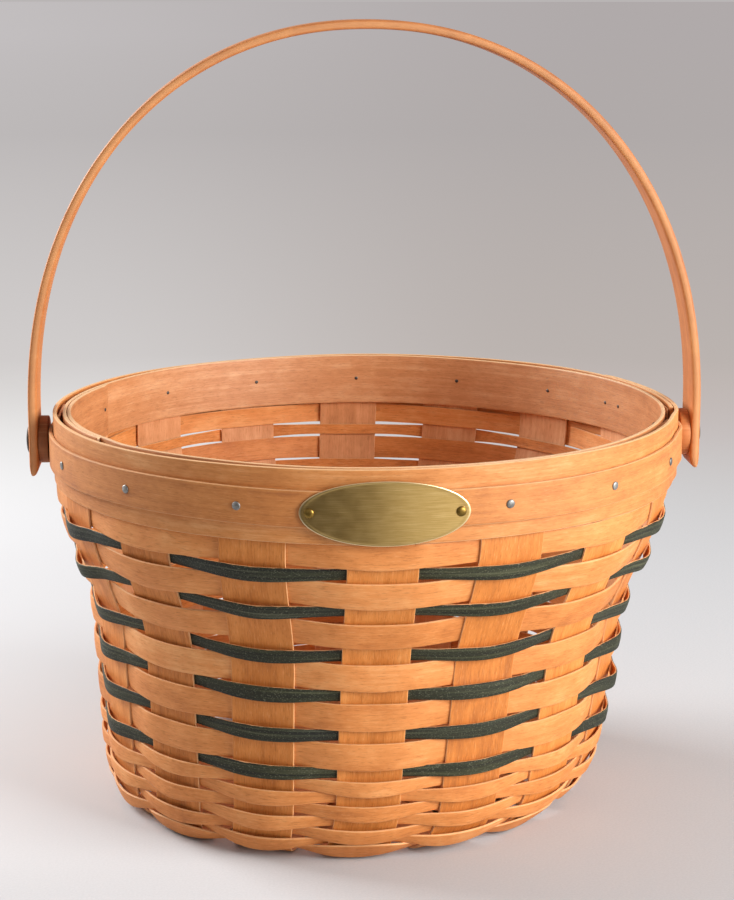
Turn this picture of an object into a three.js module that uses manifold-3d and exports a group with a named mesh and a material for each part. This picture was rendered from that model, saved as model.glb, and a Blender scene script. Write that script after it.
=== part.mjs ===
// Round woven apple basket with a bent-wood swing handle.
// Millimetres, +Z up, standing on Z = 0, plate towards -Y, handle pivots on the X axis.
import * as THREE from 'three';
import { mergeVertices } from 'three/addons/utils/BufferGeometryUtils.js';
import Module from 'manifold-3d';

const wasm = await Module();
wasm.setup();

// Clearances
const SEAT_GAP = 0.3; // between pieces that lie on each other
const ROW_GAP = 0.4; // between neighbouring rows of weave
const EDGE_GAP = 0.8; // from an upright's edge to where a weaver leaves it
const HOLE_GAP = 0.2; // round a shank in its hole
const BAND_JOINT = 0.6; // between the two ends of a bent strip

// Basket body
const RIM_Z = 204; // top of the rim bands
const SPLINTS = 8; // each makes two uprights
const SPLINT_T = 1.1;
const SPLINT_TOP_W = 34;
const SPLINT_FOOT_W = 30.6;
const SPLINT_TOP_DROP = 1.5; // top of the uprights below the rim
const WALL_R = 157.6; // mid-plane of the uprights behind the rim
const WAIST_R = 137.2; // where the flare ends
const WAIST_Z = 92;
const FOOT_R = 130.8; // where the base corner starts
const FOOT_Z = 34;
const BASE_R = 107; // edge of the flat base
const BASE_LEAN = 7.3; // the straight wall, run on to the floor, ends this far towards -X of the rim
const BASE_SKEW = 5.6; // and the base corner takes the base this much further
const STACK_CLEAR = 2; // from the crossing splints to where they start down to the floor

// Weave
const WEAVER_T = 1.1;
const TOP_W = 11.6; // first wide row, under the rim
const WIDE_W = 13.7;
const GREEN_W = 6;
const WIDE_BOW = 1.2; // how far a weaver stands off in the middle of an upright
const GREEN_BOW = 3;
const NARROW_BOW = 2;
const WIDE_SAG = 0.5; // over an upright, a weaver's lower edge hangs past its place by this
const GREEN_SAG = 0.6;
const NARROW_SAG = 1.9;
const LAST_RISE = 2.4; // the last row reaches up by this instead
const PAIRS = 6; // a wide and a green row each
const LOOSE_PAIR = 3; // its wide row has more room above and below
const LOOSE_GAP = 2.7;
const NARROW_ROWS = 7; // they fill the rest of the wall
const CORNER_BARE = 11.5; // splint left bare between the last row and the flat base

// Rim
const BAND_T = 2;
const OUTER_BAND_H = 35;
const INNER_BAND_H = 28.5;
const TRIM_H = 17.3;
const TRIM_DROP = 9.7; // top of the trim band below the rim
const BAND_FACETS = 48;
const INNER_LAP_FROM = 153.5; // the lap's open end, degrees round from +X
const INNER_LAP_L = 155; // how far the band's ends lap
const OUTER_LAP_FROM = 29.5;
const OUTER_LAP_L = 100;
const LAP_RAMP_L = 26; // run in which a band steps over its own end
const TRIM_JOINT = 11; // where the trim's ends meet, degrees round from +X

// Rim tacks
const TACK_DROP = 18.6; // below the rim
const TACK_SHIFT = 5; // to the left of the upright's middle, seen from outside
const LAP_TACK_INSET = 11; // one more tack, from the open end of the outer lap
const TACK_HEAD_R = 2.3;
const TACK_HEAD_H = 0.8;
const TACK_SHANK_R = 0.8;
const TACK_POINT_R = 1.3; // the turned-over point inside
const TACK_POINT_H = 0.5;
const TACK_SIDES = 6;

// Handle
const HANDLE_W = 25.4;
const HANDLE_T = 4.7;
const HANDLE_RISE = 214.4; // from the pivots to the top of the arch
const HANDLE_TAIL = 17.3; // from the pivots down to the ends
const SPRING_RISE = 2; // straight leg above the spacer, up to where the arch starts
const ARCH_POWER = 2.13; // 2 is an ellipse, more is fuller
const ARCH_STEPS = 32;
const HANDLE_EASE = 0.9; // bevel on the long edges
const PIVOT_DROP = 16.8; // pivots below the rim

// Pivots
const SPACER_R = 12.3;
const SPACER_T = 4.6;
const RIVET_R = 3.2;
const RIVET_HEAD_R = 7.5;
const RIVET_HEAD_H = 1.8;
const RIVET_ROLL_R = 4.9;
const RIVET_ROLL_H = 1.2;
const RIVET_BORE_R = 2;
const ROUND_SIDES = 18;

// Plate
const PLATE_L = 79;
const PLATE_H = 30.3;
const PLATE_T = 0.6;
const PLATE_DROP = 19.9; // centre of the plate below the rim
const PLATE_STEPS = 24;
const PLATE_TIP_H = 4.8; // the oval's tips are cut where it is this high
const NAIL_SPAN = 69.6;
const NAIL_HEAD_R = 2.4;
const NAIL_HEAD_H = 1.1;
const NAIL_SHANK_R = 0.8;
const NAIL_REACH = 4.8; // shank length behind the plate

// Radii that follow from the sizes above, from the inside out
const layer = BAND_T + SEAT_GAP;
const facet = (2 * Math.PI) / BAND_FACETS;
const innerBandOut = WALL_R - SPLINT_T / 2 - SEAT_GAP;
const innerBandIn = innerBandOut - BAND_T;
const uprightEdgeR = Math.hypot(WALL_R + SPLINT_T / 2, SPLINT_TOP_W / 2);
const outerBandIn = uprightEdgeR / Math.cos(facet / 2) + SEAT_GAP;
const outerBandOut = outerBandIn + BAND_T;
const trimIn = outerBandOut + SEAT_GAP;
const trimOut = trimIn + BAND_T;
const plateIn = trimOut + SEAT_GAP;
const plateOut = plateIn + PLATE_T;
const pivotZ = RIM_Z - PIVOT_DROP;
const bandFootZ = RIM_Z - OUTER_BAND_H;
const uprights = 2 * SPLINTS;
const pitch = Math.PI / SPLINTS;
const frontAngle = -Math.PI / 2;

// How far each band stands off its radius on its way round, as corners of (angle, distance).
// The inner band laps inside itself, the outer one outside, and the trim goes over that lap.
const radians = THREE.MathUtils.degToRad;
const slit = BAND_JOINT / innerBandIn;
const ramp = LAP_RAMP_L / outerBandIn;
const innerFrom = radians(INNER_LAP_FROM);
const innerEnd = innerFrom + INNER_LAP_L / innerBandIn;
const innerWay = [
  [innerFrom, -layer], [innerEnd + slit, -layer],
  [innerEnd + slit + ramp, 0], [innerEnd + 2 * Math.PI, 0],
];
const outerOpen = radians(OUTER_LAP_FROM);
const outerEnd = outerOpen - OUTER_LAP_L / outerBandIn;
const outerWay = [
  [outerEnd, 0], [outerEnd + 2 * Math.PI - slit - ramp, 0],
  [outerEnd + 2 * Math.PI - slit, layer], [outerOpen + 2 * Math.PI, layer],
];
const trimFrom = radians(TRIM_JOINT);
const trimWay = [
  [trimFrom, layer], [outerOpen, layer], [outerOpen + ramp, 0],
  ...outerWay.slice(1, 3), [trimFrom + 2 * Math.PI - slit, layer],
];

const WOOD = { color: 0xd99a5b, roughness: 0.55, metalness: 0 };
const WEAVE = { color: 0xdd9f62, roughness: 0.6, metalness: 0 };
const BAND = { color: 0xcf8c4e, roughness: 0.5, metalness: 0 };
const GREEN = { color: 0x35423c, roughness: 0.6, metalness: 0 };
const STEEL = { color: 0x9a9da0, roughness: 0.35, metalness: 1 };
const BRASS = { color: 0xa8955a, roughness: 0.4, metalness: 1 };
const BRONZE = { color: 0x4a3426, roughness: 0.45, metalness: 1 };

const basket = new THREE.Group();

function addMesh(name, geometry, look) {
  const mesh = new THREE.Mesh(geometry, new THREE.MeshStandardMaterial(look));
  geometry.computeVertexNormals();
  mesh.name = name;
  basket.add(mesh);
  return mesh;
}

function signedVolume(points, faces) {
  let volume = 0;
  for (const [a, b, c] of faces) {
    volume += points[a].dot(new THREE.Vector3().crossVectors(points[b], points[c]));
  }
  return volume;
}

// A solid through a row of four-cornered or many-cornered sections, closed by end caps.
function loft(sections) {
  const corners = sections[0].length;
  const points = sections.flat();
  const faces = [];
  for (let i = 0; i + 1 < sections.length; i++) {
    for (let j = 0; j < corners; j++) {
      const a = i * corners + j;
      const b = i * corners + ((j + 1) % corners);
      faces.push([a, b, b + corners], [a, b + corners, a + corners]);
    }
  }
  const last = (sections.length - 1) * corners;
  for (let j = 1; j + 1 < corners; j++) {
    faces.push([0, j + 1, j], [last, last + j, last + j + 1]);
  }
  if (signedVolume(points, faces) < 0) faces.forEach((face) => face.reverse());
  return new THREE.BufferGeometry().setFromPoints(points).setIndex(faces.flat());
}

function toSolid(geometry) {
  const bare = new THREE.BufferGeometry();
  bare.setAttribute('position', geometry.getAttribute('position'));
  bare.setIndex(geometry.index);
  const merged = mergeVertices(bare, 1e-4);
  return new wasm.Manifold(new wasm.Mesh({
    numProp: 3,
    vertProperties: merged.getAttribute('position').array,
    triVerts: new Uint32Array(merged.index.array),
  }));
}

// Cuts closed shapes out of a piece.
function cut(geometry, cutters) {
  let solid = toSolid(geometry);
  for (const cutter of cutters) solid = solid.subtract(toSolid(cutter));
  const { vertProperties, triVerts } = solid.getMesh();
  const result = new THREE.BufferGeometry();
  result.setAttribute('position', new THREE.BufferAttribute(vertProperties, 3));
  return result.setIndex(new THREE.BufferAttribute(triVerts, 1));
}

// Turns a shape made along +Y to point out of the basket at an angle, from the axis at a height.
function aimOut(geometry, angle, z) {
  return geometry.rotateZ(angle - Math.PI / 2).translate(0, 0, z);
}

function turned(profile, sides, angle, z) {
  const outline = profile.map(([r, y]) => new THREE.Vector2(r, y));
  return aimOut(new THREE.LatheGeometry(outline, sides), angle, z);
}

// A round hole through everything between two radii.
function radialHole(r, sides, from, to, angle, z) {
  const rod = new THREE.CylinderGeometry(r, r, to - from, sides);
  return aimOut(rod.translate(0, (from + to) / 2, 0), angle, z);
}

// The wall's mid-plane: rim, flare, tapering lower wall and base corner, as (radius, height).
const wall = new THREE.CurvePath();
const cornerR = FOOT_R - ((WAIST_R - FOOT_R) / (WAIST_Z - FOOT_Z)) * (FOOT_Z - SPLINT_T / 2);
const splintTop = new THREE.Vector2(WALL_R, RIM_Z - SPLINT_TOP_DROP);
const flareTop = new THREE.Vector2(WALL_R, bandFootZ);
const waist = new THREE.Vector2(WAIST_R, WAIST_Z);
const foot = new THREE.Vector2(FOOT_R, FOOT_Z);
const corner = new THREE.Vector2(cornerR, SPLINT_T / 2);
const baseEdge = new THREE.Vector2(BASE_R, SPLINT_T / 2);
const flareReach = (bandFootZ - WAIST_Z) * 0.36;
wall.add(new THREE.LineCurve(splintTop, flareTop));
wall.add(new THREE.CubicBezierCurve(
  flareTop,
  new THREE.Vector2(WALL_R, bandFootZ - flareReach),
  new THREE.Vector2(WAIST_R, WAIST_Z + flareReach),
  waist,
));
wall.add(new THREE.LineCurve(waist, foot));
wall.add(new THREE.QuadraticBezierCurve(foot, corner, baseEdge));
const wallLengths = wall.getCurveLengths();
const wallLength = wall.getLength();

// Point and outward direction of the mid-plane at a length down from the top.
function wallAt(s) {
  const t = THREE.MathUtils.clamp(s / wallLength, 0, 1);
  const point = wall.getPoint(t);
  const before = wall.getPoint(Math.max(t - 1e-3, 0));
  const after = wall.getPoint(Math.min(t + 1e-3, 1));
  const down = after.sub(before).normalize();
  return { r: point.x, z: point.y, nr: -down.y, nz: down.x };
}

// The rows of weave, each from s0 to s1 down the wall. Every other row is half a pitch on.
const weaveTop = wallLengths[0] + ROW_GAP;
const weaveEnd = wallLength - CORNER_BARE;
const rows = [];
function addRow(name, width, bow, sag, look, room = 0) {
  const s0 = rows.length ? rows.at(-1).s1 + ROW_GAP + room : weaveTop;
  const overOdd = rows.length % 2;
  const seam = (2 * rows.length + 1 - overOdd) % uprights; // its ends meet inside this upright
  rows.push({ name, s0, s1: s0 + width, bow, rise: 0, sag, overOdd, seam, look });
}
for (let i = 1; i <= PAIRS; i++) {
  const room = i === LOOSE_PAIR ? LOOSE_GAP : 0;
  addRow(`wide_weaver_${i}`, i === 1 ? TOP_W : WIDE_W, WIDE_BOW, WIDE_SAG, WEAVE, room);
  addRow(`green_weaver_${i}`, GREEN_W, GREEN_BOW, GREEN_SAG, GREEN, room);
}
const narrowW = (weaveEnd - rows.at(-1).s1) / NARROW_ROWS - ROW_GAP;
for (let i = 1; i <= NARROW_ROWS; i++) {
  addRow(`narrow_weaver_${i}`, narrowW, NARROW_BOW, NARROW_SAG, WEAVE);
}
Object.assign(rows.at(-1), { rise: LAST_RISE, sag: 0 });

// The body leans a little, from nothing at the rim bands to the whole lean and skew at the base.
function lean(point) {
  point.x -= BASE_LEAN * Math.max(0, 1 - point.z / bandFootZ);
  point.x -= BASE_SKEW * Math.max(0, 1 - point.z / FOOT_Z) ** 2;
  return point;
}

function splintWidth(z) {
  return THREE.MathUtils.lerp(SPLINT_FOOT_W, SPLINT_TOP_W, z / RIM_Z);
}

// A weaver goes round outside one upright and inside the next. It bows out a little over the
// first, lies flat against the second, and its two ends meet there.
function weaverGeometry(row) {
  const edges = [wallAt(row.s0), wallAt(row.s1)];
  const lift = (SPLINT_T + WEAVER_T) / 2 + SEAT_GAP;
  const narrowest = Math.min(edges[0].r, edges[1].r);
  const flat = Math.atan((splintWidth(edges[1].z) / 2 + EDGE_GAP) / narrowest);
  const half = BAND_JOINT / 2 / narrowest;
  const stations = [[row.seam * pitch + half, -lift, 0], [row.seam * pitch + flat, -lift, flat]];
  for (let k = row.seam + 1; k < row.seam + uprights; k++) {
    const outside = k % 2 === row.overOdd;
    const side = outside ? lift : -lift;
    stations.push([(k - 0.5) * pitch, 0, flat], [k * pitch - flat, side, flat]);
    if (outside) stations.push([k * pitch, lift + row.bow, 0, true]);
    stations.push([k * pitch + flat, side, flat]);
  }
  const end = (row.seam + uprights) * pitch;
  stations.push([end - pitch / 2, 0, flat], [end - flat, -lift, flat], [end - half, -lift, 0]);
  const spread = [wallAt(row.s0 - row.rise), wallAt(row.s1 + row.sag)];
  return loft(stations.map(([turn, offset, slant, bowed]) => {
    const angle = frontAngle + turn;
    return [[0, 1], [0, -1], [1, -1], [1, 1]].map(([e, d]) => {
      const { r, z, nr, nz } = (bowed ? spread : edges)[e];
      const off = offset + (d * WEAVER_T) / 2;
      const radius = (r + nr * off) / Math.cos(slant);
      return lean(new THREE.Vector3(
        radius * Math.cos(angle),
        radius * Math.sin(angle),
        z + nz * off,
      ));
    });
  }));
}

// A splint crosses the base at its own level in the stack, comes down to the floor past the
// others, turns up at the corner and runs straight up the wall on both sides.
const stackR = SPLINT_FOOT_W / 2 / Math.sin(pitch / 2) + STACK_CLEAR;
const stackStep = SPLINT_T + SEAT_GAP;
function splintPath(level) {
  const half = [{ u: stackR, z: SPLINT_T / 2 + level * stackStep, nr: 0, nz: -1 }];
  const drop = level * stackStep;
  const DROP_STEPS = 4;
  for (let i = 1; i < DROP_STEPS; i++) {
    const t = i / DROP_STEPS;
    const slope = (drop * 6 * t * (1 - t)) / (BASE_R - stackR);
    const size = Math.hypot(1, slope);
    half.push({
      u: THREE.MathUtils.lerp(stackR, BASE_R, t),
      z: SPLINT_T / 2 + drop * (1 - THREE.MathUtils.smoothstep(t, 0, 1)),
      nr: -slope / size,
      nz: -1 / size,
    });
  }
  const stops = [wallLength, weaveEnd + ROW_GAP / 2];
  for (const row of [...rows].reverse()) stops.push(row.s0 - ROW_GAP / 2);
  stops.push(0);
  for (const s of stops) {
    const { r, z, nr, nz } = wallAt(s);
    half.push({ u: r, z, nr, nz });
  }
  const far = half.map(({ u, z, nr, nz }) => ({ u: -u, z, nr: -nr, nz }));
  return [...far.reverse(), ...half];
}

function splintGeometry(level) {
  const angle = frontAngle + level * pitch;
  const sections = splintPath(level).map(({ u, z, nr, nz }) => {
    const w = splintWidth(z) / 2;
    return [[1, 1], [1, -1], [-1, -1], [-1, 1]].map(([side, d]) => {
      const p = new THREE.Vector3(u + (d * nr * SPLINT_T) / 2, side * w, z + (d * nz * SPLINT_T) / 2);
      return lean(p.applyAxisAngle(new THREE.Vector3(0, 0, 1), angle));
    });
  });
  return loft(sections);
}

// A strip's distance off its radius at one angle of its way.
function standing(way, angle) {
  const i = Math.max(1, way.findIndex(([to]) => to >= angle));
  const [[a0, d0], [a1, d1]] = [way[i - 1], way[i]];
  return THREE.MathUtils.lerp(d0, d1, (angle - a0) / (a1 - a0));
}

// The same seen from outside the lap, where a strip may pass an angle twice.
function reach(way, angle) {
  const passes = [-1, 0, 1].map((turn) => angle + turn * 2 * Math.PI)
    .filter((a) => a >= way[0][0] && a <= way.at(-1)[0])
    .map((a) => standing(way, a));
  return passes.reduce((far, d) => (Math.abs(d) > Math.abs(far) ? d : far), 0);
}

// A faceted ring's radius at an angle, as a share of its corner radius.
function facetShare(angle) {
  const turn = THREE.MathUtils.euclideanModulo(angle, facet) - facet / 2;
  return Math.cos(facet / 2) / Math.cos(turn);
}

// A flat strip bent round its way in flats, so that its layers nest.
function bandGeometry(inner, z0, z1, way) {
  const from = way[0][0];
  const to = way.at(-1)[0];
  const angles = way.map(([a]) => a);
  for (let i = Math.ceil(from / facet); i * facet < to; i++) angles.push(i * facet);
  angles.sort((a, b) => a - b);
  const apart = angles.filter((a, i) => i === 0 || a - angles[i - 1] > slit / 10);
  return loft(apart.map((a) => {
    const r0 = (inner + standing(way, a)) * facetShare(a);
    const r1 = (inner + BAND_T + standing(way, a)) * facetShare(a);
    return [[r0, z0], [r1, z0], [r1, z1], [r0, z1]].map(
      ([r, z]) => new THREE.Vector3(r * Math.cos(a), r * Math.sin(a), z),
    );
  }));
}

// Places of the fastenings
const pivots = [Math.PI, 0].map((angle) => {
  const rimIn = innerBandIn + reach(innerWay, angle);
  const spacerIn = trimOut + reach(trimWay, angle) + SEAT_GAP;
  const handleIn = spacerIn + SPACER_T + SEAT_GAP;
  return { angle, rimIn, spacerIn, handleIn, handleOut: handleIn + HANDLE_T };
});
const [left, right] = pivots;
const tackAngles = [outerOpen - LAP_TACK_INSET / outerBandOut];
for (let k = 1; k < uprights; k++) {
  const bare = k % (uprights / 4) || k === uprights / 2;
  if (bare) tackAngles.push(frontAngle + k * pitch - TACK_SHIFT / trimOut);
}
const nailAngles = [-1, 1].map((side) => frontAngle + (side * NAIL_SPAN) / 2 / plateIn);
const tackZ = RIM_Z - TACK_DROP;
const plateZ = RIM_Z - PLATE_DROP;
const near = innerBandIn - 2 * layer;
const beyond = right.handleOut + HANDLE_T;
const tackHoles = tackAngles.map(
  (a) => radialHole(TACK_SHANK_R + HOLE_GAP, TACK_SIDES, near, beyond, a, tackZ),
);
const rivetHoles = pivots.map(
  ({ angle }) => radialHole(RIVET_R + HOLE_GAP, ROUND_SIDES, near, beyond, angle, pivotZ),
);
const nailHoles = nailAngles.map(
  (a) => radialHole(NAIL_SHANK_R + HOLE_GAP, TACK_SIDES, innerBandOut, beyond, a, plateZ),
);

// Splints
for (let i = 0; i < SPLINTS; i++) {
  const holes = [...tackHoles, ...rivetHoles];
  addMesh(`splint_${i + 1}`, cut(splintGeometry(i), holes), WOOD);
}

// Weave
for (const row of rows) addMesh(row.name, weaverGeometry(row), row.look);

// Rim bands
addMesh('inner_band', cut(
  bandGeometry(innerBandIn, RIM_Z - INNER_BAND_H, RIM_Z, innerWay),
  [...tackHoles, ...rivetHoles],
), BAND);
addMesh('outer_band', cut(
  bandGeometry(outerBandIn, bandFootZ, RIM_Z, outerWay),
  [...tackHoles, ...rivetHoles, ...nailHoles],
), BAND);
addMesh('trim_band', cut(
  bandGeometry(trimIn, RIM_Z - TRIM_DROP - TRIM_H, RIM_Z - TRIM_DROP, trimWay),
  [...tackHoles, ...rivetHoles, ...nailHoles],
), BAND);

// Rim tacks: head on the trim band, shank through the rim, point turned over inside
tackAngles.forEach((angle, i) => {
  const pointFace = (innerBandIn + reach(innerWay, angle)) * facetShare(angle) - SEAT_GAP;
  const headFace = (trimOut + reach(trimWay, angle)) * facetShare(angle) + SEAT_GAP;
  const profile = [
    [0, pointFace - TACK_POINT_H],
    [TACK_POINT_R, pointFace - TACK_POINT_H],
    [TACK_POINT_R, pointFace],
    [TACK_SHANK_R, pointFace],
    [TACK_SHANK_R, headFace],
    [TACK_HEAD_R, headFace],
    [TACK_HEAD_R * 0.6, headFace + TACK_HEAD_H],
    [0, headFace + TACK_HEAD_H],
  ];
  addMesh(`rim_tack_${i + 1}`, turned(profile, TACK_SIDES, angle, tackZ), STEEL);
});

// Handle: straight legs past the pivots and one arch over the basket
const springZ = pivotZ + SPACER_R + SPRING_RISE;
const archRise = pivotZ + HANDLE_RISE - springZ;
const handleMid = (right.handleOut - left.handleOut) / 2;
const handleHalf = (right.handleOut + left.handleOut) / 2;
function archAt(t, inset) {
  const c = Math.cos(t);
  const width = (handleHalf - inset) * Math.sign(c) * Math.abs(c) ** (2 / ARCH_POWER);
  const rise = (archRise - inset) * Math.abs(Math.sin(t)) ** (2 / ARCH_POWER);
  return new THREE.Vector2(handleMid + width, springZ + rise);
}

function handleGeometry() {
  const end = (sign) => ({
    inner: new THREE.Vector2(handleMid + sign * (handleHalf - HANDLE_T), pivotZ - HANDLE_TAIL),
    outer: new THREE.Vector2(handleMid + sign * handleHalf, pivotZ - HANDLE_TAIL),
  });
  const stations = [end(1)];
  for (let i = 0; i <= ARCH_STEPS; i++) {
    const t = (i / ARCH_STEPS) * Math.PI;
    stations.push({ inner: archAt(t, HANDLE_T), outer: archAt(t, 0) });
  }
  stations.push(end(-1));
  const ease = HANDLE_EASE / HANDLE_T;
  const half = HANDLE_W / 2;
  return loft(stations.map(({ inner, outer }) => [
    [ease, -half], [1 - ease, -half], [1, -half + HANDLE_EASE], [1, half - HANDLE_EASE],
    [1 - ease, half], [ease, half], [0, half - HANDLE_EASE], [0, -half + HANDLE_EASE],
  ].map(([t, y]) => {
    const p = inner.clone().lerp(outer, t);
    return new THREE.Vector3(p.x, y, p.y);
  })));
}
addMesh('handle', cut(handleGeometry(), rivetHoles), WOOD);

// Spacers and rivets
['left', 'right'].forEach((side, i) => {
  const { angle, rimIn, spacerIn, handleIn, handleOut } = pivots[i];
  const spacerOut = spacerIn + SPACER_T;
  const rollFace = rimIn - SEAT_GAP;
  const headFace = handleOut + SEAT_GAP;
  const spacerProfile = [
    [RIVET_R + HOLE_GAP, spacerIn], [SPACER_R, spacerIn], [SPACER_R, spacerOut],
    [RIVET_R + HOLE_GAP, spacerOut], [RIVET_R + HOLE_GAP, spacerIn],
  ];
  const rivetProfile = [
    [0, handleIn],
    [RIVET_BORE_R, handleIn],
    [RIVET_BORE_R, rollFace - RIVET_ROLL_H],
    [RIVET_ROLL_R - RIVET_ROLL_H / 2, rollFace - RIVET_ROLL_H],
    [RIVET_ROLL_R, rollFace - RIVET_ROLL_H / 2],
    [RIVET_ROLL_R, rollFace],
    [RIVET_R, rollFace],
    [RIVET_R, headFace],
    [RIVET_HEAD_R, headFace],
    [RIVET_HEAD_R, headFace + RIVET_HEAD_H * 0.3],
    [RIVET_HEAD_R * 0.6, headFace + RIVET_HEAD_H * 0.85],
    [0, headFace + RIVET_HEAD_H],
  ];
  addMesh(`${side}_spacer`, turned(spacerProfile, ROUND_SIDES, angle, pivotZ), WOOD);
  addMesh(`${side}_rivet`, turned(rivetProfile, ROUND_SIDES, angle, pivotZ), BRONZE);
});

// Oval plate, bent round the trim band, and its nails
const plateStations = [];
const plateTip = Math.sqrt(1 - (PLATE_TIP_H / PLATE_H) ** 2);
for (let i = 0; i <= PLATE_STEPS; i++) {
  const t = plateTip * Math.sin((i / PLATE_STEPS - 0.5) * Math.PI);
  const angle = frontAngle + (t * PLATE_L) / 2 / plateIn;
  const half = (PLATE_H / 2) * Math.sqrt(1 - t * t);
  plateStations.push([[plateIn, -half], [plateOut, -half], [plateOut, half], [plateIn, half]].map(
    ([r, z]) => new THREE.Vector3(r * Math.cos(angle), r * Math.sin(angle), plateZ + z),
  ));
}
addMesh('plate', cut(loft(plateStations), nailHoles), BRASS);

const nailFace = plateOut + SEAT_GAP;
const nailProfile = [
  [0, nailFace - NAIL_REACH],
  [NAIL_SHANK_R, nailFace - NAIL_REACH],
  [NAIL_SHANK_R, nailFace],
  [NAIL_HEAD_R, nailFace],
  [NAIL_HEAD_R * 0.75, nailFace + NAIL_HEAD_H * 0.7],
  [0, nailFace + NAIL_HEAD_H],
];
nailAngles.forEach((angle, i) => {
  addMesh(`plate_nail_${i + 1}`, turned(nailProfile, TACK_SIDES, angle, plateZ), BRASS);
});

// The handle's middle is the origin, and the rim, thicker on the right, stands a little left of it.
basket.position.x = -handleMid;

export default basket;
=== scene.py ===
"""Looks of the apple basket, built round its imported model, with lengths in millimetres."""
import math
import random

import bpy
import numpy as np
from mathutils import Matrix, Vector


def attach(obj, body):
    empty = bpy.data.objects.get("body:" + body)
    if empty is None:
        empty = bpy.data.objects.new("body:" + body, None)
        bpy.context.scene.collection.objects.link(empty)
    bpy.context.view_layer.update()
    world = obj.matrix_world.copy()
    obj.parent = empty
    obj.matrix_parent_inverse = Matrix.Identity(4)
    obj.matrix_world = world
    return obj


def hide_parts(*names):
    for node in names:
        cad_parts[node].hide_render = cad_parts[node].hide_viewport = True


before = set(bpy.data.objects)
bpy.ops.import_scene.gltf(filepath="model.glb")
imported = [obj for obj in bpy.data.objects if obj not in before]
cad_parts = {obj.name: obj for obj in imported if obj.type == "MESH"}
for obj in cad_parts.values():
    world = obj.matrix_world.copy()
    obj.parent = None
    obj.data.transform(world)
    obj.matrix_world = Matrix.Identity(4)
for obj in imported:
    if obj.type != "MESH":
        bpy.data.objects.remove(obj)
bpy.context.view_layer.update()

MM = 0.001
TAU = 2 * math.pi
FRONT = -math.pi / 2

# Body of the basket, as in the part's source
RIM_Z = 204
SPLINTS = 8
UPRIGHTS = 2 * SPLINTS
PITCH = math.pi / SPLINTS
SPLINT_T = 1.1
SPLINT_TOP_W = 34
SPLINT_FOOT_W = 30.6
SPLINT_TOP_DROP = 1.5
WALL_R = 157.6
WAIST_R = 137.2
WAIST_Z = 92
FLARE_SHARE = 0.36
FOOT_R = 130.8
FOOT_Z = 34
BASE_R = 107
BASE_LEAN = 7.3
BASE_SKEW = 5.6
STACK_CLEAR = 2
SEAT_GAP = 0.3
ROW_GAP = 0.4
EDGE_GAP = 0.8

# Weave
WEAVER_T = 1.1
TOP_W = 11.6
WIDE_W = 13.7
GREEN_W = 6
WIDE_BOW = 1.2
GREEN_BOW = 3
NARROW_BOW = 2
WIDE_SAG = 0.5
GREEN_SAG = 0.6
NARROW_SAG = 1.9
LAST_RISE = 2.4
PAIRS = 6
LOOSE_PAIR = 3
LOOSE_GAP = 2.7
NARROW_ROWS = 7
CORNER_BARE = 11.5

# Rim
RIM_FACETS = 48
BAND_T = 2
OUTER_BAND_H = 35
INNER_BAND_H = 28.5
TRIM_H = 17.3
TRIM_DROP = 9.7
INNER_LAP_FROM = 153.5
INNER_LAP_L = 155
OUTER_LAP_FROM = 29.5
OUTER_LAP_L = 100
LAP_RAMP_L = 26
TRIM_JOINT = 11
BAND_JOINT = 0.6
TACK_DROP = 18.6
TACK_SHIFT = 5
LAP_TACK_INSET = 11

# Handle and its pivots
HANDLE_W = 25.4
HANDLE_T = 4.7
HANDLE_RISE = 214.4
HANDLE_TAIL = 17.3
SPRING_RISE = 2
ARCH_POWER = 2.13
PIVOT_DROP = 16.8
SPACER_R = 12.3
SPACER_T = 4.6

# Plate
PLATE_L = 79
PLATE_H = 30.3
PLATE_T = 0.6
PLATE_DROP = 19.9
NAIL_SPAN = 69.6

LAYER = BAND_T + SEAT_GAP
FACET = TAU / RIM_FACETS
INNER_BAND_OUT = WALL_R - SPLINT_T / 2 - SEAT_GAP
INNER_BAND_IN = INNER_BAND_OUT - BAND_T
OUTER_BAND_IN = (
    math.hypot(WALL_R + SPLINT_T / 2, SPLINT_TOP_W / 2) / math.cos(FACET / 2) + SEAT_GAP
)
OUTER_BAND_OUT = OUTER_BAND_IN + BAND_T
TRIM_IN = OUTER_BAND_OUT + SEAT_GAP
TRIM_OUT = TRIM_IN + BAND_T
PLATE_IN = TRIM_OUT + SEAT_GAP
BAND_FOOT_Z = RIM_Z - OUTER_BAND_H
PIVOT_Z = RIM_Z - PIVOT_DROP
TACK_Z = RIM_Z - TACK_DROP
PLATE_Z = RIM_Z - PLATE_DROP
LIFT = (SPLINT_T + WEAVER_T) / 2 + SEAT_GAP
RING_X = -LAYER / 2  # the rim is thicker on the right, so its middle stands left of the origin

# Finer shape, which only the looks have
STRIP_EASE = 0.3
BAND_EASE = 0.5
HANDLE_EASE = 1.5
WIDE_CROWN = 0.4
SLIM_CROWN = 0.22
WEAVE_STEPS = 330
BAND_STEPS = 360
BAND_SINK = 0.12  # each band lies a little nearer the layer inside it
BAND_ENDS = np.radians([0.05, 0.15, 0.4, 0.8, 1.2])  # closer steps at a band's ends
SCARF = np.radians(2.2)  # turn over which a lapped end is thinned
SCARF_LEFT = 0.22  # share of the thickness left at that end
HEAD_EASE = 0.1
TACK_HEAD_R = 2.1
TACK_HEAD_H = 0.9
TACK_CLIMB = 5
POINT_R = 1.0
POINT_H = 0.4
TAIL_ROUND = 6.5
TAIL_STEPS = 9
ARCH_STEPS = 600
SPACER_BORE_R = 3.4
SPACER_EASE = 0.5
PIN_R = 3.2
TUBE_R = 2.0
TUBE_DEPTH = 6
NAIL_HEAD_R = 2.4
NAIL_HEAD_H = 1.2


# Materials

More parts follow.
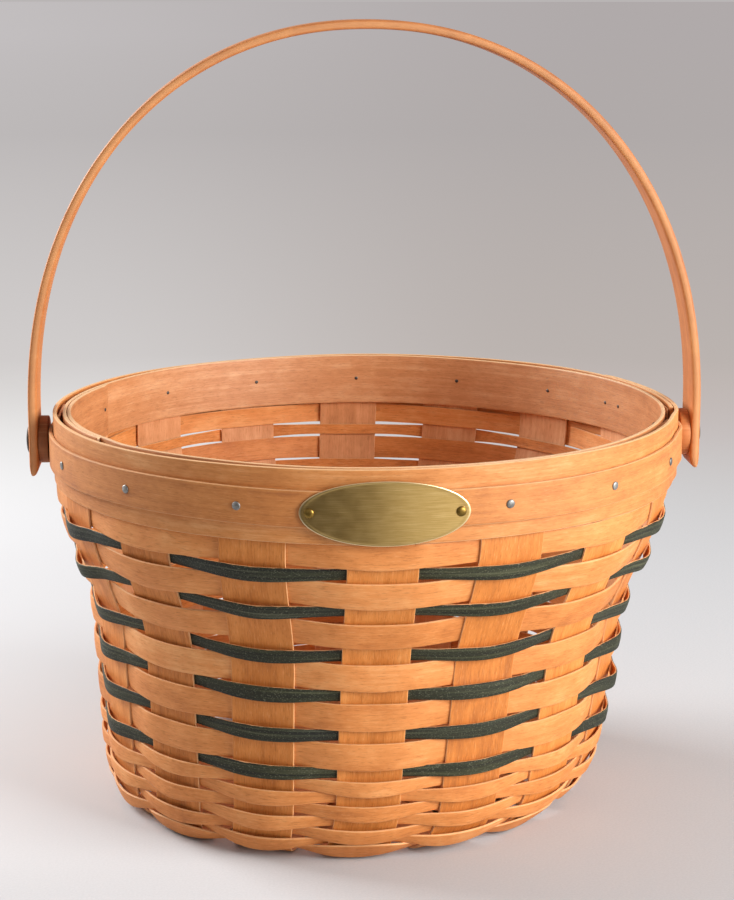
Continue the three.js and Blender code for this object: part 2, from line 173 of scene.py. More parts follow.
def linear(text):
    """A colour written as in a picture, as the shader's own numbers."""
    out = []
    for i in (0, 2, 4):
        c = int(text[i:i + 2], 16) / 255
        out.append(c / 12.92 if c <= 0.04045 else ((c + 0.055) / 1.055) ** 2.4)
    return (*out, 1)


class Nodes:
    """A short way to write a material's nodes."""

    def __init__(self, name):
        self.material = bpy.data.materials.new(name)
        self.material.use_nodes = True
        self.tree = self.material.node_tree
        self.tree.nodes.clear()
        self.shader = self.add("ShaderNodeBsdfPrincipled")
        self.output = self.add("ShaderNodeOutputMaterial")
        self.link(self.shader.outputs[0], self.output.inputs[0])

    def add(self, kind, **values):
        node = self.tree.nodes.new(kind)
        for key, value in values.items():
            setattr(node, key, value)
        return node

    def link(self, source, target):
        self.tree.links.new(source, target)

    def set(self, socket, value):
        if isinstance(value, bpy.types.NodeSocket):
            self.link(value, socket)
        else:
            socket.default_value = value

    def shade(self, **values):
        for key, value in values.items():
            self.set(self.shader.inputs[key.replace("_", " ")], value)

    def math(self, kind, a, b):
        node = self.add("ShaderNodeMath", operation=kind)
        self.set(node.inputs[0], a)
        self.set(node.inputs[1], b)
        return node.outputs[0]

    def scaled(self, vector, scale):
        node = self.add("ShaderNodeVectorMath", operation="MULTIPLY")
        self.set(node.inputs[0], vector)
        self.set(node.inputs[1], scale)
        return node.outputs[0]

    def noise(self, vector, detail=2.0, roughness=0.5, distortion=0.0):
        node = self.add("ShaderNodeTexNoise")
        self.link(vector, node.inputs["Vector"])
        node.inputs["Scale"].default_value = 1
        node.inputs["Detail"].default_value = detail
        node.inputs["Roughness"].default_value = roughness
        node.inputs["Distortion"].default_value = distortion
        return node.outputs[0]

    def span(self, value, a, b, c, d, smooth=True):
        node = self.add("ShaderNodeMapRange", interpolation_type="SMOOTHSTEP" if smooth else "LINEAR")
        for socket, v in zip(node.inputs, (value, a, b, c, d)):
            self.set(socket, v)
        return node.outputs[0]

    def ramp(self, value, places, tones):
        node = self.add("ShaderNodeValToRGB")
        self.link(value, node.inputs[0])
        elements = node.color_ramp.elements
        while len(elements) < len(tones):
            elements.new(0.5)
        for element, place, tone in zip(elements, places, tones):
            element.position = place
            element.color = linear(tone)
        return node.outputs[0]

    def mix(self, share, a, b):
        node = self.add("ShaderNodeMix", data_type="RGBA")
        self.set(node.inputs[0], share)
        self.set(node.inputs[6], a)
        self.set(node.inputs[7], b)
        return node.outputs[2]

    def bump(self, height, distance, strength):
        node = self.add("ShaderNodeBump")
        node.inputs["Strength"].default_value = strength
        node.inputs["Distance"].default_value = distance
        self.link(height, node.inputs["Height"])
        return node.outputs[0]

    def attribute(self, name, output="Vector"):
        return self.add("ShaderNodeAttribute", attribute_name=name).outputs[output]


PORE_TONE = linear("7d431b")
FLECK_TONE = linear("f3c890")
EDGE_TONE = linear("ecc391")
SPECK_TONE = linear("7f7f69")
INSIDE_TONES = ("ac6f42", "cb8d5f", "d89c70", "e8b890")
GRAIN_DEPTH = 0.14 * MM
BRUSH_DEPTH = 0.04 * MM


def wood_parts(n, tones, streak=1.0, fleck=1.0, edge=0.6, inside=False):
    """Colour, height and pores of split hardwood, with the grain along the strip."""
    grain = n.attribute("grain")
    lines = n.noise(n.scaled(grain, (11, 560, 31)), detail=6, roughness=0.68)
    figure = n.noise(n.scaled(grain, (9, 70, 17)), detail=3, distortion=0.7)
    dashes = n.noise(n.scaled(grain, (230, 1900, 43)), detail=3, roughness=0.6)
    mottle = n.noise(n.scaled(grain, (70, 120, 57)), detail=4, roughness=0.6)
    tone = n.noise(n.scaled(grain, (2, 4, 91)), detail=1)
    value = 0.5
    for part, share in ((lines, 0.55 * streak), (figure, 0.35 * streak), (mottle, 0.55), (tone, 0.8)):
        value = n.math("ADD", n.math("MULTIPLY", n.math("SUBTRACT", part, 0.5), share), value)
    colour = n.ramp(value, (0.15, 0.42, 0.6, 0.88), tones)
    pores = n.span(dashes, 0.53, 0.7, 0, 1)
    colour = n.mix(n.math("MULTIPLY", pores, 0.42 * fleck), colour, PORE_TONE)
    flecks = n.span(dashes, 0.44, 0.3, 0, 1)
    colour = n.mix(n.math("MULTIPLY", flecks, 0.22 * fleck), colour, FLECK_TONE)
    if inside:
        paler = n.math("ADD", value, n.math("MULTIPLY", pores, -0.15))
        paler = n.ramp(paler, (0.2, 0.45, 0.6, 0.85), INSIDE_TONES)
        colour = n.mix(n.math("MULTIPLY", n.attribute("inside", "Fac"), 0.75), colour, paler)
    worn = n.span(n.attribute("edge", "Fac"), 0.3, 0.9, 0, edge)
    colour = n.mix(worn, colour, EDGE_TONE)
    height = n.math("SUBTRACT", n.math("MULTIPLY", lines, 0.5), n.math("MULTIPLY", pores, 0.4))
    return colour, height, pores


def wood(name, tones, streak=1.0, fleck=1.0, rough=0.64, edge=0.6, bump=0.6, gloss=0.5, inside=False):
    """Bare wood in tones from dark to light, with paler edges."""
    n = Nodes(name)
    colour, height, pores = wood_parts(n, tones, streak, fleck, edge, inside)
    n.shade(
        Base_Color=colour,
        Roughness=n.span(pores, 0, 1, rough, rough + 0.12),
        Normal=n.bump(height, GRAIN_DEPTH, bump),
    )
    n.shader.inputs["Specular IOR Level"].default_value = gloss
    return n.material


def green_stain(name, tones):
    """Dark green on the outer face, worn to the wood along the edges, bare wood inside."""
    n = Nodes(name)
    colour, height, pores = wood_parts(n, tones)
    grain = n.attribute("grain")
    stain = n.attribute("stain", "Fac")
    lines = n.noise(n.scaled(grain, (16, 900, 29)), detail=5, roughness=0.65)
    places = (0.34, 0.47, 0.57, 0.7)
    olive = n.ramp(lines, places, ("121308", "20220f", "30321c", "52533b"))
    blue = n.ramp(lines, places, ("0e100e", "1b1e1a", "292d28", "474b45"))
    patches = n.noise(n.scaled(grain, (5, 0, 37)))
    shade = n.mix(n.span(patches, 0.5, 0.66, 0, 0.7), olive, blue)
    specks = n.span(n.noise(n.scaled(grain, (1300, 2400, 71)), detail=2), 0.56, 0.7, 0, 1)
    shade = n.mix(n.math("MULTIPLY", specks, 0.42), shade, SPECK_TONE)
    worn = n.noise(n.scaled(grain, (260, 1400, 13)), detail=3)
    edge = n.math("ADD", stain, n.math("MULTIPLY", n.math("SUBTRACT", worn, 0.5), 0.6))
    cover = n.span(edge, 0.4, 0.56, 0, 1)
    n.shade(
        Base_Color=n.mix(cover, colour, shade),
        Roughness=n.span(pores, 0, 1, 0.66, 0.76),
        Normal=n.bump(height, GRAIN_DEPTH, 0.8),
    )
    n.shader.inputs["Specular IOR Level"].default_value = 0.4
    return n.material


def metal(name, tones, rough, brushed=(900, 60, 900), blotch=0.5, edge=None):
    """Metal in tones from dark to light. A colour given for the edge shows where that is marked."""
    n = Nodes(name)
    place = n.attribute("grain")
    fine = n.noise(n.scaled(place, brushed), detail=4, roughness=0.7)
    broad = n.noise(n.scaled(place, (130, 130, 130)), detail=3)
    value = n.math("ADD", n.math("MULTIPLY", fine, 1 - blotch), n.math("MULTIPLY", broad, blotch))
    colour = n.ramp(value, (0.3, 0.5, 0.68), tones)
    if edge:
        marked = n.span(n.attribute("edge", "Fac"), 0.2, 0.9, 0, 0.7)
        colour = n.mix(marked, colour, linear(edge))
    n.shade(
        Base_Color=colour,
        Roughness=n.span(broad, 0.3, 0.7, rough - 0.02, rough + 0.03),
        Normal=n.bump(fine, BRUSH_DEPTH, 0.5),
    )
    n.shader.inputs["Metallic"].default_value = 1
    return n.material


SPLINT_TONES = ("9c551f", "c7762d", "d7863c", "e9a25b")
WEAVE_TONES = ("a05621", "cb7b39", "db8c49", "ecab6d")
BAND_TONES = ("935026", "bf7639", "ce8545", "e3a56b")
INNER_TONES = ("94582f", "bc7b49", "ca8a58", "dfaa7c")
HANDLE_TONES = ("945121", "b96f37", "c87f43", "db9a62")
SPLINT_WOOD = wood("splint_wood", SPLINT_TONES, fleck=0.8, edge=0.5, inside=True)
WEAVER_WOOD = wood("weaver_wood", WEAVE_TONES, streak=0.8, fleck=0.75, edge=0.4)
BAND_WOOD = wood("band_wood", BAND_TONES, streak=1.1, fleck=0.6, rough=0.62, edge=0.65)
TRIM_WOOD = wood("trim_wood", BAND_TONES, streak=1.1, fleck=0.6, rough=0.62, edge=0.45)
INNER_WOOD = wood(
    "inner_band_wood", INNER_TONES, streak=1.1, fleck=0.8, rough=0.5, edge=0.75, gloss=0.7
)
HANDLE_WOOD = wood("handle_wood", HANDLE_TONES, fleck=0.35, rough=0.6, edge=0.2, bump=0.06)
# The left spacer's tones are painted shade: the same wood as the right one, made darker because it stands
# in shadow
SPACER_WOODS = (
    wood("left_spacer_wood_painted_shade", ("66371a", "854b22", "985a2c", "b07443"), fleck=0.6),
    wood("right_spacer_wood", ("925021", "b86d35", "c87d41", "da985f"), fleck=0.6),
)
GREEN = green_stain("green_stain", WEAVE_TONES)
STEEL = metal("tack_steel", ("5c5c5a", "8f8e8b", "bdbbb7"), 0.5, edge="2a1e15")
BRONZE = metal("rivet_bronze", ("1d130d", "33231a", "543d2c"), 0.42)
# The plate's edge colour is a painted highlight on its border
BRASS = metal(
    "plate_brass", ("b4975d", "c8aa6d", "dabf87"), 0.32, brushed=(60, 60, 2600), blotch=0.1, edge="f6e8bf"
)
NAIL_BRASS = metal("nail_brass", ("6a5427", "876d36", "a88b4d"), 0.4)


# Mesh helpers

def sweep(sections):
    """Faces of a closed solid through a row of sections, each a ring of points."""
    count, ring = sections.shape[:2]
    faces = []
    for i in range(count - 1):
        a, b = i * ring, (i + 1) * ring
        for j in range(ring):
            k = (j + 1) % ring
            faces.append((a + j, a + k, b + k, b + j))
    faces.append(tuple(range(ring - 1, -1, -1)))
    faces.append(tuple(range((count - 1) * ring, count * ring)))
    return sections.reshape(-1, 3), faces


def outward(points, faces):
    """The faces turned so that the solid's volume is positive."""
    volume = 0.0
    for face in faces:
        a = points[face[0]]
        for i in range(1, len(face) - 1):
            volume += np.dot(a, np.cross(points[face[i]], points[face[i + 1]]))
    return faces if volume > 0 else [tuple(reversed(f)) for f in faces]


def add_piece(name, shells, material, body, nodes, slot, sharp=40, **marks):
    """One object from closed shells of (points, faces, grain, edge), riding on its body."""
    points, faces, grain, edge = [], [], [], []
    for p, f, g, e in shells:
        shift = sum(len(q) for q in points)
        faces += [tuple(i + shift for i in face) for face in outward(p, f)]
        points.append(p)
        grain.append(g)
        edge.append(np.broadcast_to(e, len(p)))
    points = np.concatenate(points)
    mesh = bpy.data.meshes.new(name)
    mesh.from_pydata(((points + (RING_X, 0, 0)) * MM).tolist(), [], faces)
    mesh.polygons.foreach_set("use_smooth", [True] * len(mesh.polygons))
    mesh.set_sharp_from_angle(angle=math.radians(sharp))
    layer = mesh.attributes.new("grain", "FLOAT_VECTOR", "POINT")
    layer.data.foreach_set("vector", np.concatenate(grain).astype(np.float32).ravel())
    for mark, values in {"edge": np.concatenate(edge), **marks}.items():
        layer = mesh.attributes.new(mark, "FLOAT", "POINT")
        layer.data.foreach_set("value", np.asarray(values, np.float32))
    mesh.materials.append(material)
    mesh.update()
    piece = bpy.data.objects.new(name, mesh)
    bpy.context.scene.collection.objects.link(piece)
    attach(piece, body)
    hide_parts(*nodes)


def strip_ring(width, thick, ease, inner_points):
    """Corners (across, through) round a strip with eased edges."""
    w, t = width / 2, thick / 2
    hold = min(0.5, (w - ease) / 3)
    face = [-(w - ease), -(w - ease - hold)]
    face += [(i + 1) / (inner_points + 1) * 2 * (w - ease - hold) - (w - ease - hold)
             for i in range(inner_points)]
    face += [w - ease - hold, w - ease]
    slant = ease * (1 - math.sqrt(0.5))
    ring = [(v, t) for v in face]
    ring += [(w - slant, t - slant), (w, t - ease), (w, -(t - ease)), (w - slant, -(t - slant))]
    ring += [(v, -t) for v in reversed(face)]
    ring += [(-(w - slant), -(t - slant)), (-w, -(t - ease)), (-w, t - ease), (-(w - slant), t - slant)]
    return np.array(ring)


def spline(knots, values, at):
    """A natural cubic spline through values at the knots."""
    x, y = np.asarray(knots, float), np.asarray(values, float)
    n, h = len(x), np.diff(x)
    m, rhs = np.eye(n), np.zeros_like(y)
    slope = np.diff(y, axis=0) / h[:, None]
    for i in range(1, n - 1):
        m[i, i - 1:i + 2] = h[i - 1], 2 * (h[i - 1] + h[i]), h[i]
        rhs[i] = 6 * (slope[i] - slope[i - 1])
    bend = np.linalg.solve(m, rhs)
    i = np.clip(np.searchsorted(x, at) - 1, 0, n - 2)
    a, b, d = (x[i + 1] - at)[:, None], (at - x[i])[:, None], h[i][:, None]
    return (
        (bend[i] * a**3 + bend[i + 1] * b**3) / (6 * d)
        + (y[i] / d - bend[i] * d / 6) * a
        + (y[i + 1] / d - bend[i + 1] * d / 6) * b
    )


def unit(v):
    return v / np.linalg.norm(v, axis=-1, keepdims=True)


def run_along(points):
    """The length along a row of points, at each of them."""
    return np.concatenate([[0], np.cumsum(np.linalg.norm(np.diff(points, axis=0), axis=1))])


def strip(path, across, out, ring, seed, grow):
    """A strip swept along path. Across and out are its unit directions at each point."""
    v, w = ring[:, 0], ring[:, 1]
    sections = (
        path[:, None]
        + across[:, None] * (v[None, :, None] * grow[:, :1, None])
        + out[:, None] * (w[None, :, None] * grow[:, 1:, None])
    )
    grain = np.zeros(sections.shape)
    grain[..., 0] = run_along(path)[:, None] * MM
    grain[..., 1] = (v[None] + 0.6 * w[None]) * MM
    grain[..., 2] = seed
    points, faces = sweep(sections)
    edge = np.abs(v) > np.abs(v).max() - 0.2
    return points, faces, grain.reshape(-1, 3), np.tile(edge.astype(float), len(path))


def join_rings(rings, sides):
    """Faces from each ring of points to the next. A ring may be one point in the middle."""
    faces = []
    for a, b in zip(rings, rings[1:]):
        for i in range(sides):
            j = (i + 1) % sides
            quad = (a[i % len(a)], a[j % len(a)], b[j % len(b)], b[i % len(b)])
            quad = tuple(dict.fromkeys(quad))
            if len(quad) > 2:
                faces.append(quad)
    return faces


def lathe(profile, origin, axis, sides=48, seed=0.0):
    """A closed turned solid from (radius, along) points that start and end on the axis."""
    axis = unit(np.array(axis, float))
    side = unit(np.cross(axis, (0, 0, 1)))
    up = np.cross(side, axis)
    points, rings = [], []
    for r, along in profile:
        steps = sides if r else 1
        rings.append(range(len(points), len(points) + steps))
        for i in range(steps):
            a = TAU * i / sides
            points.append(origin + axis * along + r * (math.cos(a) * side + math.sin(a) * up))
    points = np.array(points)
    grain = points * MM
    grain[:, 2] += seed
    return points, join_rings(rings, sides), grain, 0.0


# The wall's mid-plane, from the top of the uprights down to the flat base

def bezier(points, steps):
    t = np.linspace(0, 1, steps + 1)[:, None]
    p = [np.array(q, float) for q in points]
    while len(p) > 1:
        p = [(1 - t) * a + t * b for a, b in zip(p, p[1:])]
    return p[0]


corner_r = FOOT_R - (WAIST_R - FOOT_R) / (WAIST_Z - FOOT_Z) * (FOOT_Z - SPLINT_T / 2)
flare = (BAND_FOOT_Z - WAIST_Z) * FLARE_SHARE
wall_line = np.concatenate([
    bezier([(WALL_R, RIM_Z - SPLINT_TOP_DROP), (WALL_R, BAND_FOOT_Z)], 12),
    bezier([(WALL_R, BAND_FOOT_Z), (WALL_R, BAND_FOOT_Z - flare),
            (WAIST_R, WAIST_Z + flare), (WAIST_R, WAIST_Z)], 60)[1:],
    bezier([(WAIST_R, WAIST_Z), (FOOT_R, FOOT_Z)], 24)[1:],
    bezier([(FOOT_R, FOOT_Z), (corner_r, SPLINT_T / 2), (BASE_R, SPLINT_T / 2)], 48)[1:],
])
wall_run = run_along(wall_line)
WALL_L = wall_run[-1]


def wall_at(s):
    """Radius, height and outward direction of the mid-plane at a length down from the top."""
    def point(q):
        return np.array([np.interp(q, wall_run, wall_line[:, i]) for i in (0, 1)])
    down = point(min(s + 0.5, WALL_L)) - point(max(s - 0.5, 0))
    down = down / np.linalg.norm(down)
    return (*point(s), -down[1], down[0])


def lean(points):
    """The points moved to the left, more and more towards the base."""
    points = np.array(points, float)
    z = points[..., 2]
    points[..., 0] -= BASE_LEAN * np.maximum(0, 1 - z / BAND_FOOT_Z)
    points[..., 0] -= BASE_SKEW * np.maximum(0, 1 - z / FOOT_Z) ** 2
    return points


def splint_width(z):
    return SPLINT_FOOT_W + (SPLINT_TOP_W - SPLINT_FOOT_W) * z / RIM_Z


# Rows of weave

# How much higher each row is at the back, from the top one down
BACK_CLIMB = (6.4, 5.7, 5.2, 4.9, 4, 3.2, 2.4, 1.7, 1.1, 0.6, 0.2)
BACK_THIN = 0.07  # share of their width that the wide rows lose at the back
FRONT_SETTLE = 0.8  # the rows below the first sit a little lower in front
SIDE_TILT = 1.3  # and the upper ones a little higher on the left
GREEN_SWELL = 0.4  # the thin strips are a little wider than their even place, on each edge
LOBE_SAG = 1.7  # the last two rows hang down between their crossings
RIM_HOLD = 0.3  # share of its bow that the first row keeps under the rim
BULGES = (("green_weaver_2", -3), ("green_weaver_5", 3))  # strips that stand well off one upright
BULGE_BOW = 1.8
weave_top = RIM_Z - SPLINT_TOP_DROP - BAND_FOOT_Z + ROW_GAP
rows = []
s_from = weave_top
for i in range(1, PAIRS + 1):
    room = LOOSE_GAP if i == LOOSE_PAIR else 0
    for name, width, bow, sag, material in (
        (f"wide_weaver_{i}", TOP_W if i == 1 else WIDE_W, WIDE_BOW, WIDE_SAG, WEAVER_WOOD),
        (f"green_weaver_{i}", GREEN_W, GREEN_BOW, GREEN_SAG, GREEN),
    ):
        s_from += room
        rows.append((name, s_from, width, bow, 0, sag, material))
        s_from += width + ROW_GAP
NARROW_W = (WALL_L - CORNER_BARE - s_from + ROW_GAP) / NARROW_ROWS - ROW_GAP
for i in range(1, NARROW_ROWS + 1):
    rise, sag = (LAST_RISE, 0) if i == NARROW_ROWS else (0, NARROW_SAG)
    rows.append((f"narrow_weaver_{i}", s_from, NARROW_W, NARROW_BOW, rise, sag, WEAVER_WOOD))
    s_from += NARROW_W + ROW_GAP
draw = random.Random(7)


def wander(turn, number):
    """How far a row stands up the wall from its even place, at an angle from the front."""
    back = (1 - math.cos(turn)) / 2
    if number >= len(BACK_CLIMB):
        return 0
    share = 1 - number / len(BACK_CLIMB)
    up = BACK_CLIMB[number] * back**2 - share * SIDE_TILT * math.sin(turn)
    wave = 0.5 * math.sin(2 * turn + 0.25 * number) + 0.3 * math.sin(5 * turn + 1.3 + 0.2 * number)
    up += wave * back
    if number:
        return up - FRONT_SETTLE * (1 - back) ** 2
    return up * back


def bow_share(name, k):
    """Part of the usual bow that a weaver takes over one upright, counted from the front."""
    k = (k + SPLINTS) % UPRIGHTS - SPLINTS
    if "green" not in name:
        return draw.uniform(0.8, 1.3)
    if (name, k) in BULGES:
        return BULGE_BOW
    return draw.uniform(0.6, 0.8) if abs(k) <= 1 else draw.uniform(0.9, 1.4)


for number, (name, s_from, width, bow, rise, sag, material) in enumerate(rows):
    wide = name.startswith("wide")
    edges = [wall_at(s_from), wall_at(s_from + width)]
    over = number % 2
    seam = (2 * number + 1 - over) % UPRIGHTS
    narrowest = min(edges[0][0], edges[1][0])
    flat = math.atan((splint_width(edges[1][1]) / 2 + EDGE_GAP) / narrowest)
    half = BAND_JOINT / 2 / narrowest
    shoulder = 0 if wide else 0.5
    # Each station is an angle, a distance off the mid-plane, a slant and a share of the sag
    stations = [(seam * PITCH + half, -LIFT, 0, 0), (seam * PITCH + flat, -LIFT, flat, 0)]
    for k in range(seam + 1, seam + UPRIGHTS):
        outside = k % 2 == over
        side = LIFT if outside else -LIFT
        proud = bow * bow_share(name, k) if outside else 0
        middle, brink = (1, shoulder) if outside else (0, 0)
        stations += [((k - 0.5) * PITCH, 0, flat, 0), (k * PITCH - flat, side, flat, brink),
                     (k * PITCH, side + proud, 0, middle), (k * PITCH + flat, side, flat, brink)]
    end = (seam + UPRIGHTS) * PITCH
    stations += [(end - PITCH / 2, 0, flat, 0), (end - flat, -LIFT, flat, 0), (end - half, -LIFT, 0, 0)]
    turns = np.array([station[0] for station in stations])
    fine = np.linspace(turns[0], turns[-1], WEAVE_STEPS + 1)
    lines = []
    for at_foot, s in enumerate((s_from, s_from + width)):
        knots = []
        for turn, off, slant, spread in stations:
            back = (1 - math.cos(turn)) / 2
            place = s - wander(turn, number) + spread * (sag if at_foot else -rise)
            if material is GREEN:
                place += (2 * at_foot - 1) * GREEN_SWELL * min(1, 1.5 * spread)
            if number == len(rows) - 1:
                place -= LOBE_SAG * (1 - spread if at_foot else 0.6 + 0.6 * spread)
            elif number == len(rows) - 2 and at_foot:
                place += LOBE_SAG * (spread - 0.5)
            if wide:
                place += (0.5 - at_foot) * BACK_THIN * width * back**2
            if number == 0 and not at_foot and spread:
                off = LIFT + RIM_HOLD * (off - LIFT)
            r, z, nr, nz = wall_at(place)
            knots.append(((r + nr * off) / math.cos(slant), z + nz * off))
        rho, height = spline(turns, knots, fine).T
        angle = FRONT + fine
        lines.append(lean(np.stack([rho * np.cos(angle), rho * np.sin(angle), height], -1)))
    path = (lines[0] + lines[1]) / 2
    across = unit(lines[0] - lines[1])
    out = unit(np.cross(np.gradient(path, axis=0), across))
    ring = strip_ring(width, WEAVER_T, STRIP_EASE, 4 if wide else 2)
    crown = (WIDE_CROWN if wide else SLIM_CROWN) * (1 - (2 * ring[:, 0] / width) ** 2)
    ring = np.stack([ring[:, 0], ring[:, 1] + crown], -1)
    grow = np.stack([np.linalg.norm(lines[0] - lines[1], axis=1) / width, np.ones(len(fine))], -1)
    shell = strip(path, across, out, ring, number * 1.37 + 0.5, grow)
    marks = {}
    if material is GREEN:
        top = ring[:, 0] > width / 2 - 0.25
        cover = np.where(ring[:, 1] > crown, 1.0, 0.0)
        cover[top] = np.where(ring[top, 1] > 0, 0.6, 0.2)
        marks["stain"] = np.tile(cover, len(path))
    slot = "green_stain" if material is GREEN else "weaver_wood"
    add_piece(f"{name}_fine", [shell], material, "basket", [name], slot, **marks)


# Splints: across the base in a stack, round the corner and up the wall on both sides

stack_r = SPLINT_FOOT_W / 2 / math.sin(PITCH / 2) + STACK_CLEAR
for level in range(SPLINTS):
    drop = level * (SPLINT_T + SEAT_GAP)
    t = np.linspace(0, 1, 13)
    base = np.stack([stack_r + (BASE_R - stack_r) * t,
                     SPLINT_T / 2 + drop * (1 - t * t * (3 - 2 * t))], -1)
    middle = np.stack([np.linspace(0, stack_r, 9)[:-1], np.full(8, SPLINT_T / 2 + drop)], -1)
    side_line = np.concatenate([middle, base[:-1], wall_line[::-1]])
    line = np.concatenate([side_line[:0:-1] * (-1, 1), side_line])
    angle = FRONT + level * PITCH
    path = np.stack([line[:, 0] * math.cos(angle), line[:, 0] * math.sin(angle), line[:, 1]], -1)
    across = np.tile([-math.sin(angle), math.cos(angle), 0.0], (len(path), 1))
    out = unit(np.cross(np.gradient(path, axis=0), across))
    path = lean(path)
    ring = strip_ring(SPLINT_FOOT_W, SPLINT_T, STRIP_EASE, 3)
    grow = np.stack([splint_width(path[:, 2]) / SPLINT_FOOT_W, np.ones(len(path))], -1)
    shell = strip(path, across, out, ring, 40 + level * 1.91, grow)
    add_piece(f"splint_{level + 1}_fine", [shell], SPLINT_WOOD, "basket",
              [f"splint_{level + 1}"], "splint_wood", inside=np.tile(ring[:, 1] > 0, len(path)))


# Rim bands. A way is a row of angles, with how far the band stands off its radius at each

slit = BAND_JOINT / INNER_BAND_IN
ramp = LAP_RAMP_L / OUTER_BAND_IN
inner_from = math.radians(INNER_LAP_FROM)
inner_end = inner_from + INNER_LAP_L / INNER_BAND_IN
inner_way = [(inner_from, -LAYER), (inner_end + slit, -LAYER),
             (inner_end + slit + ramp, 0), (inner_end + TAU, 0)]
outer_open = math.radians(OUTER_LAP_FROM)
outer_end = outer_open - OUTER_LAP_L / OUTER_BAND_IN
outer_way = [(outer_end, 0), (outer_end + TAU - slit - ramp, 0),
             (outer_end + TAU - slit, LAYER), (outer_open + TAU, LAYER)]
trim_from = math.radians(TRIM_JOINT)
trim_way = [(trim_from, LAYER), (outer_open, LAYER), (outer_open + ramp, 0),
            *outer_way[1:3], (trim_from + TAU - slit, LAYER)]


def standing(way, angle):
    """How far a band stands off its radius at an angle of its way."""
    for (a0, d0), (a1, d1) in zip(way, way[1:]):
        if angle <= a1:
            t = min(max((angle - a0) / (a1 - a0), 0), 1)
            return d0 + (d1 - d0) * t * t * (3 - 2 * t)
    return way[-1][1]


def reach(way, angle):
    """The same at any angle, for the layer that stands off furthest there."""
    passes = [standing(way, angle + turn * TAU) for turn in (-1, 0, 1)
              if way[0][0] <= angle + turn * TAU <= way[-1][0]]
    return max(passes, key=abs, default=0)


def add_band(node, material, inner, z0, z1, way, thin_start, thin_end, seed):
    """A bent strip round its way. An open end may be thinned towards the layer that it lies on."""
    angles = np.linspace(way[0][0], way[-1][0], BAND_STEPS + 1)
    angles = np.unique(np.concatenate([angles, angles[0] + BAND_ENDS, angles[-1] - BAND_ENDS]))
    thick = np.ones(len(angles))
    shift = np.array([standing(way, a) for a in angles])
    for wanted, way_in in ((thin_start, angles - angles[0]), (thin_end, angles[-1] - angles)):
        if wanted:
            share = SCARF_LEFT + (1 - SCARF_LEFT) * np.clip(way_in / SCARF, 0, 1)
            shift = shift + wanted * (1 - share) * BAND_T / 2
            thick = np.minimum(thick, share)
    r = inner + BAND_T / 2 - BAND_SINK + shift
    wave = 0.25 * np.sin(3 * angles + seed) + 0.15 * np.sin(7 * angles + 2 * seed)
    path = np.stack([r * np.cos(angles), r * np.sin(angles), (z0 + z1) / 2 + wave], -1)
    across = np.tile([0.0, 0.0, 1.0], (len(r), 1))
    out = np.stack([np.cos(angles), np.sin(angles), np.zeros(len(r))], -1)
    grow = np.stack([np.ones(len(r)), thick], -1)
    for i, share in ((0, 0.985), (1, 0.997), (-1, 0.985), (-2, 0.997)):
        grow[i] *= (share, 1 - 12 * (1 - share))
    shell = strip(path, across, out, strip_ring(z1 - z0, BAND_T, BAND_EASE, 2), seed, grow)
    add_piece(f"{node}_fine", [shell], material, "basket", [node], "band_wood")


trim_top = RIM_Z - TRIM_DROP
add_band("inner_band", INNER_WOOD, INNER_BAND_IN, RIM_Z - INNER_BAND_H, RIM_Z, inner_way, 1, 0, 71.3)
add_band("outer_band", BAND_WOOD, OUTER_BAND_IN, BAND_FOOT_Z, RIM_Z, outer_way, 0, -1, 73.9)
add_band("trim_band", TRIM_WOOD, TRIM_IN, trim_top - TRIM_H, trim_top, trim_way, 0, 0, 77.7)


# Tacks: a low domed head outside, a shank driven a little upwards, its point turned over inside

def radial(angle):
    return np.array([math.cos(angle), math.sin(angle), 0.0])


def dome(radius, height, edge):
    """Profile of a head from its seat to its crown, with an edge of the given height."""
    profile = [(0, 0), (radius - HEAD_EASE, 0), (radius, HEAD_EASE)]
    if edge > HEAD_EASE:
        profile.append((radius, edge))
    for i in range(1, 6):
        a = i / 6 * math.pi / 2
        profile.append((radius * math.cos(a), edge + (height - edge) * math.sin(a)))
    return [*profile, (0, height)]


tack_angles = [outer_open - LAP_TACK_INSET / OUTER_BAND_OUT]
for k in range(1, UPRIGHTS):
    if k % (UPRIGHTS // 4) or k == UPRIGHTS // 2:
        tack_angles.append(FRONT + k * PITCH - TACK_SHIFT / TRIM_OUT)
for i, angle in enumerate(tack_angles):
    out = radial(angle)
    head = out * (TRIM_OUT - 0.13 + reach(trim_way, angle)) + (0, 0, TACK_Z)
    point = out * (INNER_BAND_IN - 0.3 + reach(inner_way, angle)) + (0, 0, TACK_Z + TACK_CLIMB)
    length = np.linalg.norm(point - head)
    shank = [(0, -0.2), (0.8, -0.2), (0.7, length - 0.4), (0, length - 0.2)]
    tip = lathe(dome(POINT_R, POINT_H, HEAD_EASE), point + out * 0.25, -out, 24, i)
    shells = [
        lathe(dome(TACK_HEAD_R, TACK_HEAD_H, 0.25), head, out + (0, 0, -0.05), 32, i),
        lathe(shank, head, point - head, 12, i),
        (*tip[:3], 1.0),  # browned where it is turned over
    ]
    add_piece(f"rim_tack_{i + 1}_fine", shells, STEEL, "basket", [f"rim_tack_{i + 1}"], "tack_steel")


# Handle

sides = []
for angle in (math.pi, 0.0):
    spacer_in = TRIM_OUT + reach(trim_way, angle) + SEAT_GAP
    handle_in = spacer_in + SPACER_T + SEAT_GAP
    sides.append((angle, spacer_in, handle_in, handle_in + HANDLE_T,
                  INNER_BAND_IN + reach(inner_way, angle)))
left_out, right_out = sides[0][3], sides[1][3]
handle_mid, handle_half = (right_out - left_out) / 2, (right_out + left_out) / 2
spring_z = PIVOT_Z + SPACER_R + SPRING_RISE
arch_rise = PIVOT_Z + HANDLE_RISE - spring_z


